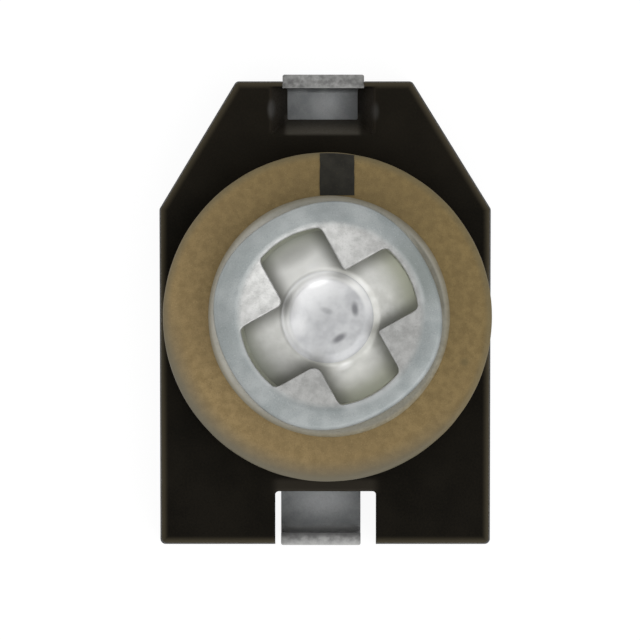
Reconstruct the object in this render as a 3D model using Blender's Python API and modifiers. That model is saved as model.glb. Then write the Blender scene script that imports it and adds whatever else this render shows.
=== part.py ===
"""A surface-mount ceramic trimmer capacitor, in metres, +Z up.

The origin lies on the rotor's axis, in the seating plane. +Y points to the chamfered end, where
the stator terminal comes out, and -Y to the notched end with the rotor terminal.
The ceramic disc, its silver film, the printed mark, the driver cap and the spring washer turn
together about the Z axis. Everything else is held in the resin.
"""

import math

import bmesh
import bpy
from mathutils import Vector

MM = 0.001

# Resin base
BASE_WIDTH = 3.20 * MM
BASE_HEIGHT = 0.80 * MM
BASE_NORTH = 2.29 * MM
BASE_SOUTH = 2.20 * MM
BASE_SHIFT_X = -0.022 * MM
NORTH_END_WIDTH = 1.705 * MM
CHAMFER_LENGTH = 1.24 * MM
WALL_DRAFT = 0.02 * MM
BASE_CORNER_RADIUS = 0.05 * MM
BASE_EDGE_ROUND = 0.025 * MM

# Notch at the south end, cut right through
NOTCH_WIDTH = 0.976 * MM
NOTCH_DEPTH = 0.514 * MM
NOTCH_CORNER_RADIUS = 0.05 * MM
NOTCH_SHIFT_X = -0.018 * MM

# Funnel-shaped window at the north end, and the slot that its turned-up tab stands in
WINDOW_FLOOR_WIDTH = 0.66 * MM
WINDOW_TOP_WIDTH = 1.02 * MM
WINDOW_FLOOR_LENGTH = 0.30 * MM
WINDOW_BACK_SLOPE = 0.157 * MM
WINDOW_RIM_CHAMFER = 0.06 * MM
TAB_SLOT_GAP = 0.02 * MM
TAB_SLOT_FLARE = 0.05 * MM

# Sheet terminals
STATOR_SHEET = 0.13 * MM
STATOR_TERMINAL_WIDTH = 0.79 * MM
STATOR_SHIFT_X = -0.040 * MM
STATOR_TAB_PROUD = 0.059 * MM
STATOR_BEND_INSIDE = 0.055 * MM
ROTOR_SHEET = 0.12 * MM
ROTOR_TERMINAL_WIDTH = 0.77 * MM
ROTOR_SHIFT_X = -0.064 * MM
ROTOR_TAB_PROUD = 0.01 * MM
ROTOR_BEND_INSIDE = 0.08 * MM
TAB_HEIGHT = 0.55 * MM
TAB_CORNER_RADIUS = 0.05 * MM
RISER_BEND_INSIDE = 0.06 * MM

# Stator electrode, the flat half disc flush with the base's top
ELECTRODE_MARGIN = 0.20 * MM
ELECTRODE_HOLE_RADIUS = 0.55 * MM
ELECTRODE_EDGE_Y = 0.06 * MM
NECK_LENGTH = 0.10 * MM
RESIN_BEHIND_WINDOW = 0.26 * MM
RISER_RUN = 0.30 * MM

# Rotor terminal's eye round the pin
EYE_RADIUS = 0.55 * MM
EYE_LEVEL = 0.27 * MM
JOGGLE_START = 0.10 * MM
JOGGLE_RUN = 0.24 * MM

# Centre pin
SHANK_RADIUS = 0.25 * MM
FOOT_RADIUS = 0.42 * MM
FOOT_THICKNESS = 0.09 * MM
HEAD_RIM_RADIUS = 0.055 * MM
HEAD_DISH_RADIUS = 0.20 * MM
HEAD_DISH_DEPTH = 0.06 * MM
HEAD_TO_LOBES = 0.027 * MM

# Ceramic rotor
CERAMIC_RADIUS = 1.59 * MM
CERAMIC_THICKNESS = 0.40 * MM
CERAMIC_RIM_CHAMFER = 0.045 * MM
SHANK_CLEARANCE = 0.03 * MM

# Silver film and printed mark on the ceramic
FILM_THICKNESS = 0.02 * MM
FILM_SHIFT_X = 0.016 * MM
FILM_OVER_DRIVER = 0.067 * MM
MARK_WIDTH = 0.333 * MM
MARK_THICKNESS = 0.012 * MM
MARK_ANGLE = 86.05
MARK_CLEARANCE = 0.025 * MM

# Driver cap
DRIVER_RADIUS = 1.10 * MM
DRIVER_HEIGHT = 0.36 * MM
DRIVER_SHEET = 0.10 * MM
DRIVER_SHIFT_X = 0.005 * MM
DRIVER_SHIFT_Y = 0.012 * MM
DRIVER_EDGE_ROUND = 0.045 * MM
RING_WIDTH = 0.24 * MM
RING_STEP = 0.03 * MM
LOBE_DROP = 0.10 * MM
LOBE_TIP_ROUND = 0.03 * MM
SLOT_WIDTH = 0.68 * MM
SLOT_INTO_RING = 0.013 * MM
SLOT_SHIFT_X = 0.027 * MM
SLOT_SHIFT_Y = -0.019 * MM
SLOT_ANGLE = 29.0

# Spring washer
WASHER_RADIUS = 0.65 * MM
WASHER_SHEET = 0.06 * MM
WASHER_DISH = 0.09 * MM
WASHER_TO_FILM = 0.03 * MM

# Clearances
MOULD_GAP = 0.01 * MM
SEAT_GAP = 0.005 * MM

# Fineness of round faces
DISC_STEPS = 112
SMALL_STEPS = 64
CORNER_STEPS = 5
BEND_STEPS = 6

# How far a cutter runs past the face that it cuts through
OVERRUN = 0.20 * MM

# Levels that follow from the sizes above
CERAMIC_LEVEL = BASE_HEIGHT + MOULD_GAP
CERAMIC_TOP = CERAMIC_LEVEL + CERAMIC_THICKNESS
FILM_LEVEL = CERAMIC_TOP + SEAT_GAP
DRIVER_LEVEL = FILM_LEVEL + FILM_THICKNESS + SEAT_GAP
WASHER_LEVEL = CERAMIC_TOP + SEAT_GAP
HEAD_LEVEL = WASHER_LEVEL + WASHER_DISH + WASHER_SHEET + SEAT_GAP
FOOT_LEVEL = EYE_LEVEL - SEAT_GAP - FOOT_THICKNESS

# Radii and places that follow from the sizes above
RING_INNER_RADIUS = DRIVER_RADIUS - RING_WIDTH
SLOT_END_RADIUS = RING_INNER_RADIUS + SLOT_INTO_RING
LOBE_TIP_RADIUS = SLOT_WIDTH / math.sqrt(2)
SLOT_OFF_AXIS = math.hypot(DRIVER_SHIFT_X + SLOT_SHIFT_X, DRIVER_SHIFT_Y + SLOT_SHIFT_Y)
HEAD_RADIUS = LOBE_TIP_RADIUS - SLOT_OFF_AXIS - HEAD_TO_LOBES
BORE_RADIUS = SHANK_RADIUS + SHANK_CLEARANCE
FILM_RADIUS = DRIVER_RADIUS + FILM_OVER_DRIVER
FILM_BORE_RADIUS = WASHER_RADIUS + WASHER_TO_FILM + abs(FILM_SHIFT_X)
STATOR_TAB_FACE = BASE_NORTH + STATOR_TAB_PROUD
STATOR_TAB_INSIDE = STATOR_TAB_FACE - STATOR_SHEET
ROTOR_TAB_FACE = BASE_SOUTH + ROTOR_TAB_PROUD
WINDOW_FLOOR_BACK = STATOR_TAB_INSIDE - WINDOW_FLOOR_LENGTH
WINDOW_TOP_BACK = WINDOW_FLOOR_BACK - WINDOW_BACK_SLOPE
RISER_TOP = WINDOW_TOP_BACK - RESIN_BEHIND_WINDOW
ELECTRODE_RADIUS = min(BASE_WIDTH / 2 - ELECTRODE_MARGIN, RISER_TOP - NECK_LENGTH)
NOTCH_BACK = BASE_SOUTH - NOTCH_DEPTH


def clear_scene():
    for old in list(bpy.data.objects):
        bpy.data.objects.remove(old)


def new_collection(name):
    collection = bpy.data.collections.new(name)
    bpy.context.scene.collection.children.link(collection)
    return collection


def new_material(name, colour, roughness, metallic):
    material = bpy.data.materials.new(name)
    material.use_nodes = True
    shader = material.node_tree.nodes["Principled BSDF"]
    shader.inputs["Base Color"].default_value = (*colour, 1.0)
    shader.inputs["Roughness"].default_value = roughness
    shader.inputs["Metallic"].default_value = metallic
    return material


def new_object(name, mesh, collection, material=None):
    piece = bpy.data.objects.new(name, mesh)
    collection.objects.link(piece)
    if material:
        mesh.materials.append(material)
    return piece


def as_cutter(piece):
    """A cutter shapes another piece and is left out of renders."""
    piece.hide_render = True
    piece.display_type = "WIRE"
    return piece


def combine(piece, other, operation):
    boolean = piece.modifiers.new(other.name, "BOOLEAN")
    boolean.operation = operation
    boolean.solver = "EXACT"
    boolean.object = other


def shade_softly(piece):
    """Round faces shade smoothly, and large flat faces keep their own normal."""
    piece.data.shade_smooth()
    piece.modifiers.new("shading", "WEIGHTED_NORMAL")


def arc(centre, radius, start, end, steps):
    """Points on an arc from one angle to another, in degrees, both ends among them."""
    points = []
    for step in range(steps + 1):
        angle = math.radians(start + (end - start) * step / steps)
        points.append((centre[0] + radius * math.cos(angle), centre[1] + radius * math.sin(angle)))
    return points


def rounded_corner(before, corner, after, radius, steps):
    """The points that replace a corner of a path by an arc which is tangent to both its sides."""
    before, corner, after = Vector(before), Vector(corner), Vector(after)
    way_in = (corner - before).normalized()
    way_out = (after - corner).normalized()
    turn = way_in.angle_signed(way_out)
    side = -1.0 if turn > 0 else 1.0
    start = corner - way_in * radius * math.tan(abs(turn) / 2)
    centre = start + Vector((-way_in.y, way_in.x)) * radius * side
    points = []
    for step in range(steps + 1):
        angle = side * abs(turn) * step / steps
        spoke = start - centre
        x = spoke.x * math.cos(angle) - spoke.y * math.sin(angle)
        y = spoke.x * math.sin(angle) + spoke.y * math.cos(angle)
        points.append((centre.x + x, centre.y + y))
    return points


def rounded_outline(corners, radii, steps=CORNER_STEPS):
    """A closed outline with one radius for each corner; a radius of 0 keeps the corner sharp."""
    points = []
    for index, (corner, radius) in enumerate(zip(corners, radii)):
        before = corners[index - 1]
        after = corners[(index + 1) % len(corners)]
        if radius:
            points += rounded_corner(before, corner, after, radius, steps)
        else:
            points.append(corner)
    return points


def bent_path(corners, radii):
    """An open path with one radius for each corner between its ends."""
    points = [corners[0]]
    for before, corner, after, radius in zip(corners, corners[1:], corners[2:], radii):
        points += rounded_corner(before, corner, after, radius, BEND_STEPS)
    points.append(corners[-1])
    return points


def prism(name, outline, bottom, top, collection, material=None):
    """An outline in XY pulled up from one level to another."""
    mesh = bpy.data.meshes.new(name)
    solid = bmesh.new()
    face = solid.faces.new([solid.verts.new((x, y, bottom)) for x, y in outline])
    pulled = bmesh.ops.extrude_face_region(solid, geom=[face])["geom"]
    raised = [part for part in pulled if isinstance(part, bmesh.types.BMVert)]
    bmesh.ops.translate(solid, verts=raised, vec=(0, 0, top - bottom))
    bmesh.ops.recalc_face_normals(solid, faces=solid.faces)
    solid.to_mesh(mesh)
    solid.free()
    return new_object(name, mesh, collection, material)


def turned(name, profile, steps, collection, material=None, closed=True):
    """A profile of (radius, height) points turned about Z. It runs down its outer side."""
    mesh = bpy.data.meshes.new(name)
    edges = [(point, point + 1) for point in range(len(profile) - 1)]
    if closed:
        edges.append((len(profile) - 1, 0))
    mesh.from_pydata([(radius, 0, height) for radius, height in profile], edges, [])
    piece = new_object(name, mesh, collection, material)
    screw = piece.modifiers.new("turn", "SCREW")
    screw.axis = "Z"
    screw.steps = steps
    screw.render_steps = steps
    screw.use_merge_vertices = True
    screw.merge_threshold = 1e-7
    screw.use_smooth_shade = True
    return piece


def cylinder(name, radius, bottom, top, steps, collection):
    mesh = bpy.data.meshes.new(name)
    solid = bmesh.new()
    bmesh.ops.create_cone(
        solid, cap_ends=True, segments=steps, radius1=radius, radius2=radius, depth=top - bottom
    )
    bmesh.ops.translate(solid, verts=solid.verts, vec=(0, 0, (top + bottom) / 2))
    solid.to_mesh(mesh)
    solid.free()
    return new_object(name, mesh, collection)


def bent_sheet(name, path, half_width, thickness, collection, material=None):
    """A strip whose middle surface follows a path of (y, z) points, thickened to both sides."""
    mesh = bpy.data.meshes.new(name)
    strip = bmesh.new()
    rails = [
        (strip.verts.new((-half_width, y, z)), strip.verts.new((half_width, y, z)))
        for y, z in path
    ]
    for (left, right), (next_left, next_right) in zip(rails, rails[1:]):
        strip.faces.new((left, right, next_right, next_left))
    strip.to_mesh(mesh)
    strip.free()
    sheet = new_object(name, mesh, collection, material)
    solidify = sheet.modifiers.new("thickness", "SOLIDIFY")
    solidify.thickness = thickness
    solidify.offset = 0.0
    solidify.use_even_offset = True
    return sheet


def base_body(collection, material):
    """The moulding's outline, drawn in a little towards the top, with softened edges."""
    half = BASE_WIDTH / 2
    end_half = NORTH_END_WIDTH / 2
    chamfer_start = BASE_NORTH - CHAMFER_LENGTH
    corners = [
        (BASE_SHIFT_X - half, -BASE_SOUTH),
        (BASE_SHIFT_X + half, -BASE_SOUTH),
        (BASE_SHIFT_X + half, chamfer_start),
        (BASE_SHIFT_X + end_half, BASE_NORTH),
        (BASE_SHIFT_X - end_half, BASE_NORTH),
        (BASE_SHIFT_X - half, chamfer_start),
    ]
    outline = rounded_outline(corners, [BASE_CORNER_RADIUS] * len(corners), steps=3)
    base = prism("base", outline, 0.0, BASE_HEIGHT, collection, material)
    middle_y = (BASE_NORTH - BASE_SOUTH) / 2
    half_length = (BASE_NORTH + BASE_SOUTH) / 2
    for vertex in base.data.vertices:
        if vertex.co.z > BASE_HEIGHT / 2:
            vertex.co.x = BASE_SHIFT_X + (vertex.co.x - BASE_SHIFT_X) * (1 - WALL_DRAFT / half)
            vertex.co.y = middle_y + (vertex.co.y - middle_y) * (1 - WALL_DRAFT / half_length)
    rounding = base.modifiers.new("edges", "BEVEL")
    rounding.width = BASE_EDGE_ROUND
    rounding.segments = 2
    rounding.limit_method = "ANGLE"
    rounding.angle_limit = math.radians(50)
    return base


def notch_cutter(cutters):
    half = NOTCH_WIDTH / 2
    corners = [
        (NOTCH_SHIFT_X - half, -BASE_SOUTH - OVERRUN),
        (NOTCH_SHIFT_X + half, -BASE_SOUTH - OVERRUN),
        (NOTCH_SHIFT_X + half, -NOTCH_BACK),
        (NOTCH_SHIFT_X - half, -NOTCH_BACK),
    ]
    outline = rounded_outline(corners, [0, 0, NOTCH_CORNER_RADIUS, NOTCH_CORNER_RADIUS])
    notch = prism("notch_cutter", outline, -OVERRUN, BASE_HEIGHT + OVERRUN, cutters)
    return as_cutter(notch)


def funnel(name, bottom, top, floor_half, mouth_half, floor_back, mouth_back, front, cutters):
    """A block whose two sides and back lean outwards from its floor to its mouth."""
    mesh = bpy.data.meshes.new(name)
    block = bmesh.new()
    bmesh.ops.create_cube(block, size=2.0)
    for vertex in block.verts:
        upper = vertex.co.z > 0
        side = math.copysign(mouth_half if upper else floor_half, vertex.co.x)
        back = mouth_back if upper else floor_back
        vertex.co.x = STATOR_SHIFT_X + side
        vertex.co.y = front if vertex.co.y > 0 else back
        vertex.co.z = top if upper else bottom
    block.to_mesh(mesh)
    block.free()
    return as_cutter(new_object(name, mesh, cutters))


def window_cutters(cutters):
    """The window's funnel, the chamfer along its rim, and the slot for the tab."""
    depth = BASE_HEIGHT - STATOR_SHEET
    lean_side = (WINDOW_TOP_WIDTH - WINDOW_FLOOR_WIDTH) / 2 / depth
    lean_back = WINDOW_BACK_SLOPE / depth
    above = BASE_HEIGHT + OVERRUN
    window = funnel(
        "window_cutter",
        STATOR_SHEET,
        above,
        WINDOW_FLOOR_WIDTH / 2,
        WINDOW_TOP_WIDTH / 2 + lean_side * OVERRUN,
        WINDOW_FLOOR_BACK,
        WINDOW_TOP_BACK - lean_back * OVERRUN,
        STATOR_TAB_INSIDE,
        cutters,
    )
    rim = funnel(
        "window_rim_cutter",
        BASE_HEIGHT - WINDOW_RIM_CHAMFER,
        above,
        WINDOW_TOP_WIDTH / 2 - WINDOW_RIM_CHAMFER / 2,
        WINDOW_TOP_WIDTH / 2 + WINDOW_RIM_CHAMFER / 2 + OVERRUN,
        WINDOW_TOP_BACK + WINDOW_RIM_CHAMFER,
        WINDOW_TOP_BACK + WINDOW_RIM_CHAMFER,
        STATOR_TAB_INSIDE - WINDOW_RIM_CHAMFER,
        cutters,
    )
    half = STATOR_TERMINAL_WIDTH / 2 + TAB_SLOT_GAP
    back = STATOR_TAB_INSIDE - TAB_SLOT_GAP
    flared = half + TAB_SLOT_FLARE * (1 + OVERRUN / (BASE_NORTH - back))
    slot_outline = [
        (STATOR_SHIFT_X - half, back),
        (STATOR_SHIFT_X + half, back),
        (STATOR_SHIFT_X + flared, BASE_NORTH + OVERRUN),
        (STATOR_SHIFT_X - flared, BASE_NORTH + OVERRUN),
    ]
    slot = prism("tab_slot_cutter", slot_outline, -OVERRUN, above, cutters)
    return [window, rim, as_cutter(slot)]


def stator_path(grow):
    """The stator sheet's middle surface: tab, tongue, riser and electrode, as (y, z) points."""
    half = STATOR_SHEET / 2
    tab_y = STATOR_TAB_FACE - half
    plate_z = BASE_HEIGHT - half
    corners = [
        (tab_y, TAB_HEIGHT + grow),
        (tab_y, half),
        (RISER_TOP + RISER_RUN, half),
        (RISER_TOP, plate_z),
        (ELECTRODE_EDGE_Y - OVERRUN, plate_z),
    ]
    riser_bend = RISER_BEND_INSIDE + half
    return bent_path(corners, [STATOR_BEND_INSIDE + half, riser_bend, riser_bend])


def stator_plan(grow):
    """The stator blank seen from above: the tongue and the half disc with a bite round the pin."""
    radius = ELECTRODE_RADIUS + grow
    hole = ELECTRODE_HOLE_RADIUS - grow
    edge = ELECTRODE_EDGE_Y - grow
    half = STATOR_TERMINAL_WIDTH / 2 + grow
    left, right = STATOR_SHIFT_X - half, STATOR_SHIFT_X + half
    end = STATOR_TAB_FACE + grow
    edge_angle = math.degrees(math.asin(edge / radius))
    hole_angle = math.degrees(math.asin(edge / hole))
    right_angle = math.degrees(math.acos(right / radius))
    left_angle = math.degrees(math.acos(left / radius))
    corners = [(right, 0.0), (right, end), (left, end), (left, 0.0)]
    tongue = rounded_outline(corners, [0, TAB_CORNER_RADIUS, TAB_CORNER_RADIUS, 0])[1:-1]
    outline = arc((0, 0), radius, edge_angle, right_angle, DISC_STEPS // 6)
    outline += tongue
    outline += arc((0, 0), radius, left_angle, 180 - edge_angle, DISC_STEPS // 6)
    outline += arc((0, 0), hole, 180 - hole_angle, hole_angle, SMALL_STEPS // 2)
    return outline


def rotor_path(grow):
    """The rotor sheet's middle surface: tab, tongue, joggle and eye, as (y, z) points."""
    half = ROTOR_SHEET / 2
    tab_y = -(ROTOR_TAB_FACE - half)
    joggle_y = -(NOTCH_BACK - JOGGLE_START)
    eye_z = EYE_LEVEL + half
    corners = [
        (tab_y, TAB_HEIGHT + grow),
        (tab_y, half),
        (joggle_y, half),
        (joggle_y + JOGGLE_RUN, eye_z),
        (EYE_RADIUS + OVERRUN, eye_z),
    ]
    joggle_bend = RISER_BEND_INSIDE + half
    return bent_path(corners, [ROTOR_BEND_INSIDE + half, joggle_bend, joggle_bend])


def rotor_plan(grow):
    """The rotor blank seen from above: a strip that ends in a round eye."""
    radius = EYE_RADIUS + grow
    half = ROTOR_TERMINAL_WIDTH / 2 + grow
    left, right = ROTOR_SHIFT_X - half, ROTOR_SHIFT_X + half
    end = -(ROTOR_TAB_FACE + grow)
    right_angle = -math.degrees(math.acos(right / radius))
    left_angle = 360 - math.degrees(math.acos(left / radius))
    corners = [(left, 0.0), (left, end), (right, end), (right, 0.0)]
    strip = rounded_outline(corners, [0, TAB_CORNER_RADIUS, TAB_CORNER_RADIUS, 0])[1:-1]
    return strip + arc((0, 0), radius, right_angle, left_angle, SMALL_STEPS)


def terminal(name, path, plan, thickness, collection, cutters, material=None):
    """A bent sheet cut to its blank's outline."""
    sheet = bent_sheet(name, path, BASE_WIDTH, thickness, collection, material)
    blank = prism(name + "_blank", plan, -OVERRUN, BASE_HEIGHT + OVERRUN, cutters)
    combine(sheet, as_cutter(blank), "INTERSECT")
    return sheet


def stator_terminal(collection, cutters, material):
    return terminal(
        "stator_terminal", stator_path(0), stator_plan(0), STATOR_SHEET, collection, cutters,
        material,
    )


def rotor_terminal(collection, cutters, material):
    piece = terminal(
        "rotor_terminal", rotor_path(0), rotor_plan(0), ROTOR_SHEET, collection, cutters, material
    )
    hole = cylinder(
        "eye_cutter", SHANK_RADIUS + SEAT_GAP, 0.0, BASE_HEIGHT, SMALL_STEPS, cutters
    )
    combine(piece, as_cutter(hole), "DIFFERENCE")
    return piece


def pin_profile(grow):
    """Half the pin's section, from the axis at its top down to the axis at its foot."""
    rim = HEAD_RIM_RADIUS
    head = HEAD_LEVEL + 2 * rim
    rim_middle = (HEAD_RADIUS - rim, head - rim)
    dish_foot = (HEAD_DISH_RADIUS, head - HEAD_DISH_DEPTH)
    shank = SHANK_RADIUS + grow
    foot = FOOT_RADIUS + grow
    profile = [(0.0, head - HEAD_DISH_DEPTH), dish_foot]
    profile += arc(rim_middle, rim, 112, -90, 8)
    profile += [
        (shank, HEAD_LEVEL),
        (shank, FOOT_LEVEL + FOOT_THICKNESS + grow),
        (foot, FOOT_LEVEL + FOOT_THICKNESS + grow),
        (foot, FOOT_LEVEL - grow),
        (0.0, FOOT_LEVEL - grow),
    ]
    return profile


def base_moulding(collection, cutters, material):
    """The base with its notch and window, moulded round the two sheets and the pin."""
    base = base_body(collection, material)
    gap = MOULD_GAP
    stator_room = terminal(
        "stator_room", stator_path(gap), stator_plan(gap), STATOR_SHEET + 2 * gap, cutters, cutters
    )
    rotor_room = terminal(
        "rotor_room", rotor_path(gap), rotor_plan(gap), ROTOR_SHEET + 2 * gap, cutters, cutters
    )
    pin_room = turned("pin_room", pin_profile(gap), SMALL_STEPS, cutters, closed=False)
    rooms = [as_cutter(room) for room in (stator_room, rotor_room, pin_room)]
    for cutter in [notch_cutter(cutters), *window_cutters(cutters), *rooms]:
        combine(base, cutter, "DIFFERENCE")
    return base


def centre_pin(collection, material):
    return turned("centre_pin", pin_profile(0), SMALL_STEPS, collection, material, closed=False)


def ceramic_rotor(collection, material):
    rim = CERAMIC_RIM_CHAMFER
    profile = [
        (CERAMIC_RADIUS - rim, CERAMIC_THICKNESS),
        (CERAMIC_RADIUS, CERAMIC_THICKNESS - rim),
        (CERAMIC_RADIUS, rim / 2),
        (CERAMIC_RADIUS - rim / 2, 0.0),
        (BORE_RADIUS, 0.0),
        (BORE_RADIUS, CERAMIC_THICKNESS),
    ]
    disc = turned("ceramic_rotor", profile, DISC_STEPS, collection, material)
    disc.location.z = CERAMIC_LEVEL
    return disc


def rotor_electrode(collection, material):
    """The fired silver ring that the driver cap stands on, printed a little off centre."""
    profile = [
        (FILM_RADIUS, FILM_THICKNESS),
        (FILM_RADIUS, 0.0),
        (FILM_BORE_RADIUS, 0.0),
        (FILM_BORE_RADIUS, FILM_THICKNESS),
    ]
    film = turned("rotor_electrode", profile, DISC_STEPS, collection, material)
    film.location = (FILM_SHIFT_X, 0.0, FILM_LEVEL)
    return film


def index_mark(collection, material):
    """A printed bar from the driver cap's edge out to the ceramic's rim."""
    half = MARK_WIDTH / 2
    inner = FILM_RADIUS + MARK_CLEARANCE
    outer = CERAMIC_RADIUS - CERAMIC_RIM_CHAMFER
    inner_angle = math.degrees(math.asin(half / inner))
    outer_angle = math.degrees(math.asin(half / outer))
    outline = arc((0, 0), inner, 90 + inner_angle, 90 - inner_angle, CORNER_STEPS)
    outline += arc((0, 0), outer, 90 - outer_angle, 90 + outer_angle, CORNER_STEPS)
    mark = prism("index_mark", outline, 0.0, MARK_THICKNESS, collection, material)
    mark.location.z = CERAMIC_TOP + SEAT_GAP
    mark.rotation_euler.z = math.radians(MARK_ANGLE - 90)
    return mark


def driver_profile():
    """Half the driver cap's section, from the lobes' slope over the ring and down the skirt."""
    top = DRIVER_HEIGHT
    sheet = DRIVER_SHEET
    edge = DRIVER_EDGE_ROUND
    bend = RING_INNER_RADIUS
    slope = LOBE_DROP / (bend - LOBE_TIP_RADIUS)
    start = LOBE_TIP_RADIUS / 2
    start_z = top - RING_STEP - slope * (bend - start)
    profile = [(start, start_z), (bend, top - RING_STEP), (bend + RING_STEP, top)]
    profile += arc((DRIVER_RADIUS - edge, top - edge), edge, 90, 0, 4)
    profile += [
        (DRIVER_RADIUS, 0.0),
        (DRIVER_RADIUS - sheet, 0.0),
        (DRIVER_RADIUS - sheet, top - sheet),
        (bend + RING_STEP, top - sheet),
        (bend, top - RING_STEP - sheet),
        (start, start_z - sheet),
    ]
    return profile


def cross_outline():
    """The cross slot: four arms with curved ends, and rounded corners where two arms meet."""
    half = SLOT_WIDTH / 2
    end_angle = math.degrees(math.asin(half / SLOT_END_RADIUS))
    tip = half + LOBE_TIP_ROUND
    quarter = arc((0, 0), SLOT_END_RADIUS, -end_angle, end_angle, 8)
    quarter += arc((tip, tip), LOBE_TIP_ROUND, 270, 180, 4)
    outline = []
    for turn in range(4):
        angle = math.radians(90 * turn + SLOT_ANGLE)
        for x, y in quarter:
            outline.append(
                (
                    x * math.cos(angle) - y * math.sin(angle),
                    x * math.sin(angle) + y * math.cos(angle),
                )
            )
    return outline


def driver_plate(collection, cutters, material):
    """A drawn cap with a cross slot, whose four lobes lean down to the middle."""
    cap = turned("driver_plate", driver_profile(), DISC_STEPS, collection, material)
    cross = prism("cross_cutter", cross_outline(), -OVERRUN, DRIVER_HEIGHT + OVERRUN, cutters)
    cap.location = (DRIVER_SHIFT_X, DRIVER_SHIFT_Y, DRIVER_LEVEL)
    cross.location = (DRIVER_SHIFT_X + SLOT_SHIFT_X, DRIVER_SHIFT_Y + SLOT_SHIFT_Y, DRIVER_LEVEL)
    combine(cap, as_cutter(cross), "DIFFERENCE")
    return cap


def spring_washer(collection, material):
    profile = [
        (BORE_RADIUS, WASHER_DISH + WASHER_SHEET),
        (WASHER_RADIUS, WASHER_SHEET),
        (WASHER_RADIUS, 0.0),
        (BORE_RADIUS, WASHER_DISH),
    ]
    washer = turned("spring_washer", profile, SMALL_STEPS, collection, material)
    washer.location.z = WASHER_LEVEL
    return washer


def build():
    clear_scene()
    parts = new_collection("trimmer_capacitor")
    cutters = new_collection("cutters")
    resin = new_material("resin", (0.012, 0.010, 0.008), 0.45, 0.0)
    tin = new_material("tin", (0.42, 0.43, 0.44), 0.38, 1.0)
    ceramic = new_material("ceramic", (0.20, 0.145, 0.065), 0.55, 0.0)
    ink = new_material("ink", (0.035, 0.032, 0.025), 0.5, 0.0)
    silver = new_material("silver", (0.60, 0.60, 0.58), 0.4, 1.0)
    nickel = new_material("nickel", (0.52, 0.54, 0.54), 0.42, 1.0)
    spring = new_material("spring", (0.62, 0.61, 0.57), 0.3, 1.0)

    rotor_axis = bpy.data.objects.new("rotor_axis", None)
    parts.objects.link(rotor_axis)

    fixed = [
        base_moulding(parts, cutters, resin),
        stator_terminal(parts, cutters, tin),
        rotor_terminal(parts, cutters, tin),
        centre_pin(parts, tin),
    ]
    turning = [
        ceramic_rotor(parts, ceramic),
        rotor_electrode(parts, silver),
        index_mark(parts, ink),
        driver_plate(parts, cutters, nickel),
        spring_washer(parts, spring),
    ]
    for piece in turning:
        piece.parent = rotor_axis
    for piece in fixed + turning:
        shade_softly(piece)


build()
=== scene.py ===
"""The look of the trimmer capacitor: finer meshes, materials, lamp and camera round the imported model.

All lengths below are in millimetres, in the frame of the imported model, and are turned to metres
where a mesh is made. The rotor turns about the Z axis. Angles are in degrees, from +X towards +Y.
"""

import math
from collections import namedtuple

import bmesh
import bpy
import numpy as np
from mathutils import Euler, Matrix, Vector, noise


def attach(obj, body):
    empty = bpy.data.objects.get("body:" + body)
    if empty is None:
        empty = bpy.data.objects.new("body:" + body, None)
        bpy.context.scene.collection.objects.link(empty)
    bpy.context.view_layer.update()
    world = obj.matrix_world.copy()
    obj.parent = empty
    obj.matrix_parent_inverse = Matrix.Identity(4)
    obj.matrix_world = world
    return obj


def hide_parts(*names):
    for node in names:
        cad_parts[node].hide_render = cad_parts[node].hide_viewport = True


MM = 0.001
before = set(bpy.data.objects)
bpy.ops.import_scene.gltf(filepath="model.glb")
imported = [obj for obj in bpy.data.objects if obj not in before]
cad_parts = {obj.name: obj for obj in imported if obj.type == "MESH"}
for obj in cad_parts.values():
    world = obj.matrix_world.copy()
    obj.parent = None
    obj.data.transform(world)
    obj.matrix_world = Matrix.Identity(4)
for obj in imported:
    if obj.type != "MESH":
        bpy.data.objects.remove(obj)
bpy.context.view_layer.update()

# Camera: straight above, with the axis of the rotor at the photo's pixel
VIEW_WIDTH = 6.2196
VIEW_CENTRE = (-0.0719, -0.0292)
CAMERA_HEIGHT = 200.0
CAMERA_NEAR = 10.0
CAMERA_FAR = 1000.0
SENSOR = 36.0

# Cleaning of the meshes: merging distances in metres, and the angle from which an edge is sharp
MERGE_DISTANCE = 1e-8
CAD_MERGE_DISTANCE = 1e-7
CREASE = 40.0
BASE_CREASE = 38.0
TERMINAL_CREASE = 35.0
CAP_CREASE = 50.0

# Resin base
BASE_MIDDLE_X = -0.022
BASE_SOUTH_HALF = 1.60
BASE_WIDEST_HALF = 1.61
BASE_NORTH = 2.29
BASE_SOUTH = 2.205
BASE_TOP = 0.80
BASE_DRAFT = 0.02
BASE_FOOT_CHAMFER = 0.02
BASE_CORNER = 0.05
BASE_TOP_ROUND = 0.03
NORTH_END_MIDDLE_X = -0.032
NORTH_END_HALF = 0.8545
CHAMFER_START = 1.05
NOTCH_LEFT = -0.506
NOTCH_RIGHT = 0.470
NOTCH_BACK = 1.687
NOTCH_CORNER = 0.035
LIP_ROUND = 0.03
WINDOW_MIDDLE_X = -0.047
WINDOW_FLOOR_HALF = 0.338
WINDOW_TOP_HALF = 0.51
WINDOW_FLOOR_BACK = 1.919
WINDOW_TOP_BACK = 1.762
WINDOW_FRONT = 2.219
WINDOW_FLOOR = 0.13
WINDOW_CORNER = 0.015
WINDOW_LIP = 0.05
WINDOW_LIP_DEPTH = 0.04
WINDOW_LIP_INSET = 0.02
WINDOW_LIP_FLARE = 0.03
WINDOW_FRONT_CUT = 0.012
NORTH_TAB_MIDDLE_X = -0.040
TAB_HALF = 0.395
CAD_TAB_CORNER = 0.05
TAB_CORNER = 0.02
TAB_EDGE_ROUND = 0.014
TAB_SLOT_GAP = 0.001
SOUTH_TAB_LEFT = -0.449
SOUTH_TAB_RIGHT = 0.321
SOUTH_SHEET = 0.12
NORTH_CHANNEL_BACK = 1.62
SOUTH_CHANNEL_BACK = 1.58
CHANNEL_GAP = 0.01
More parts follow.
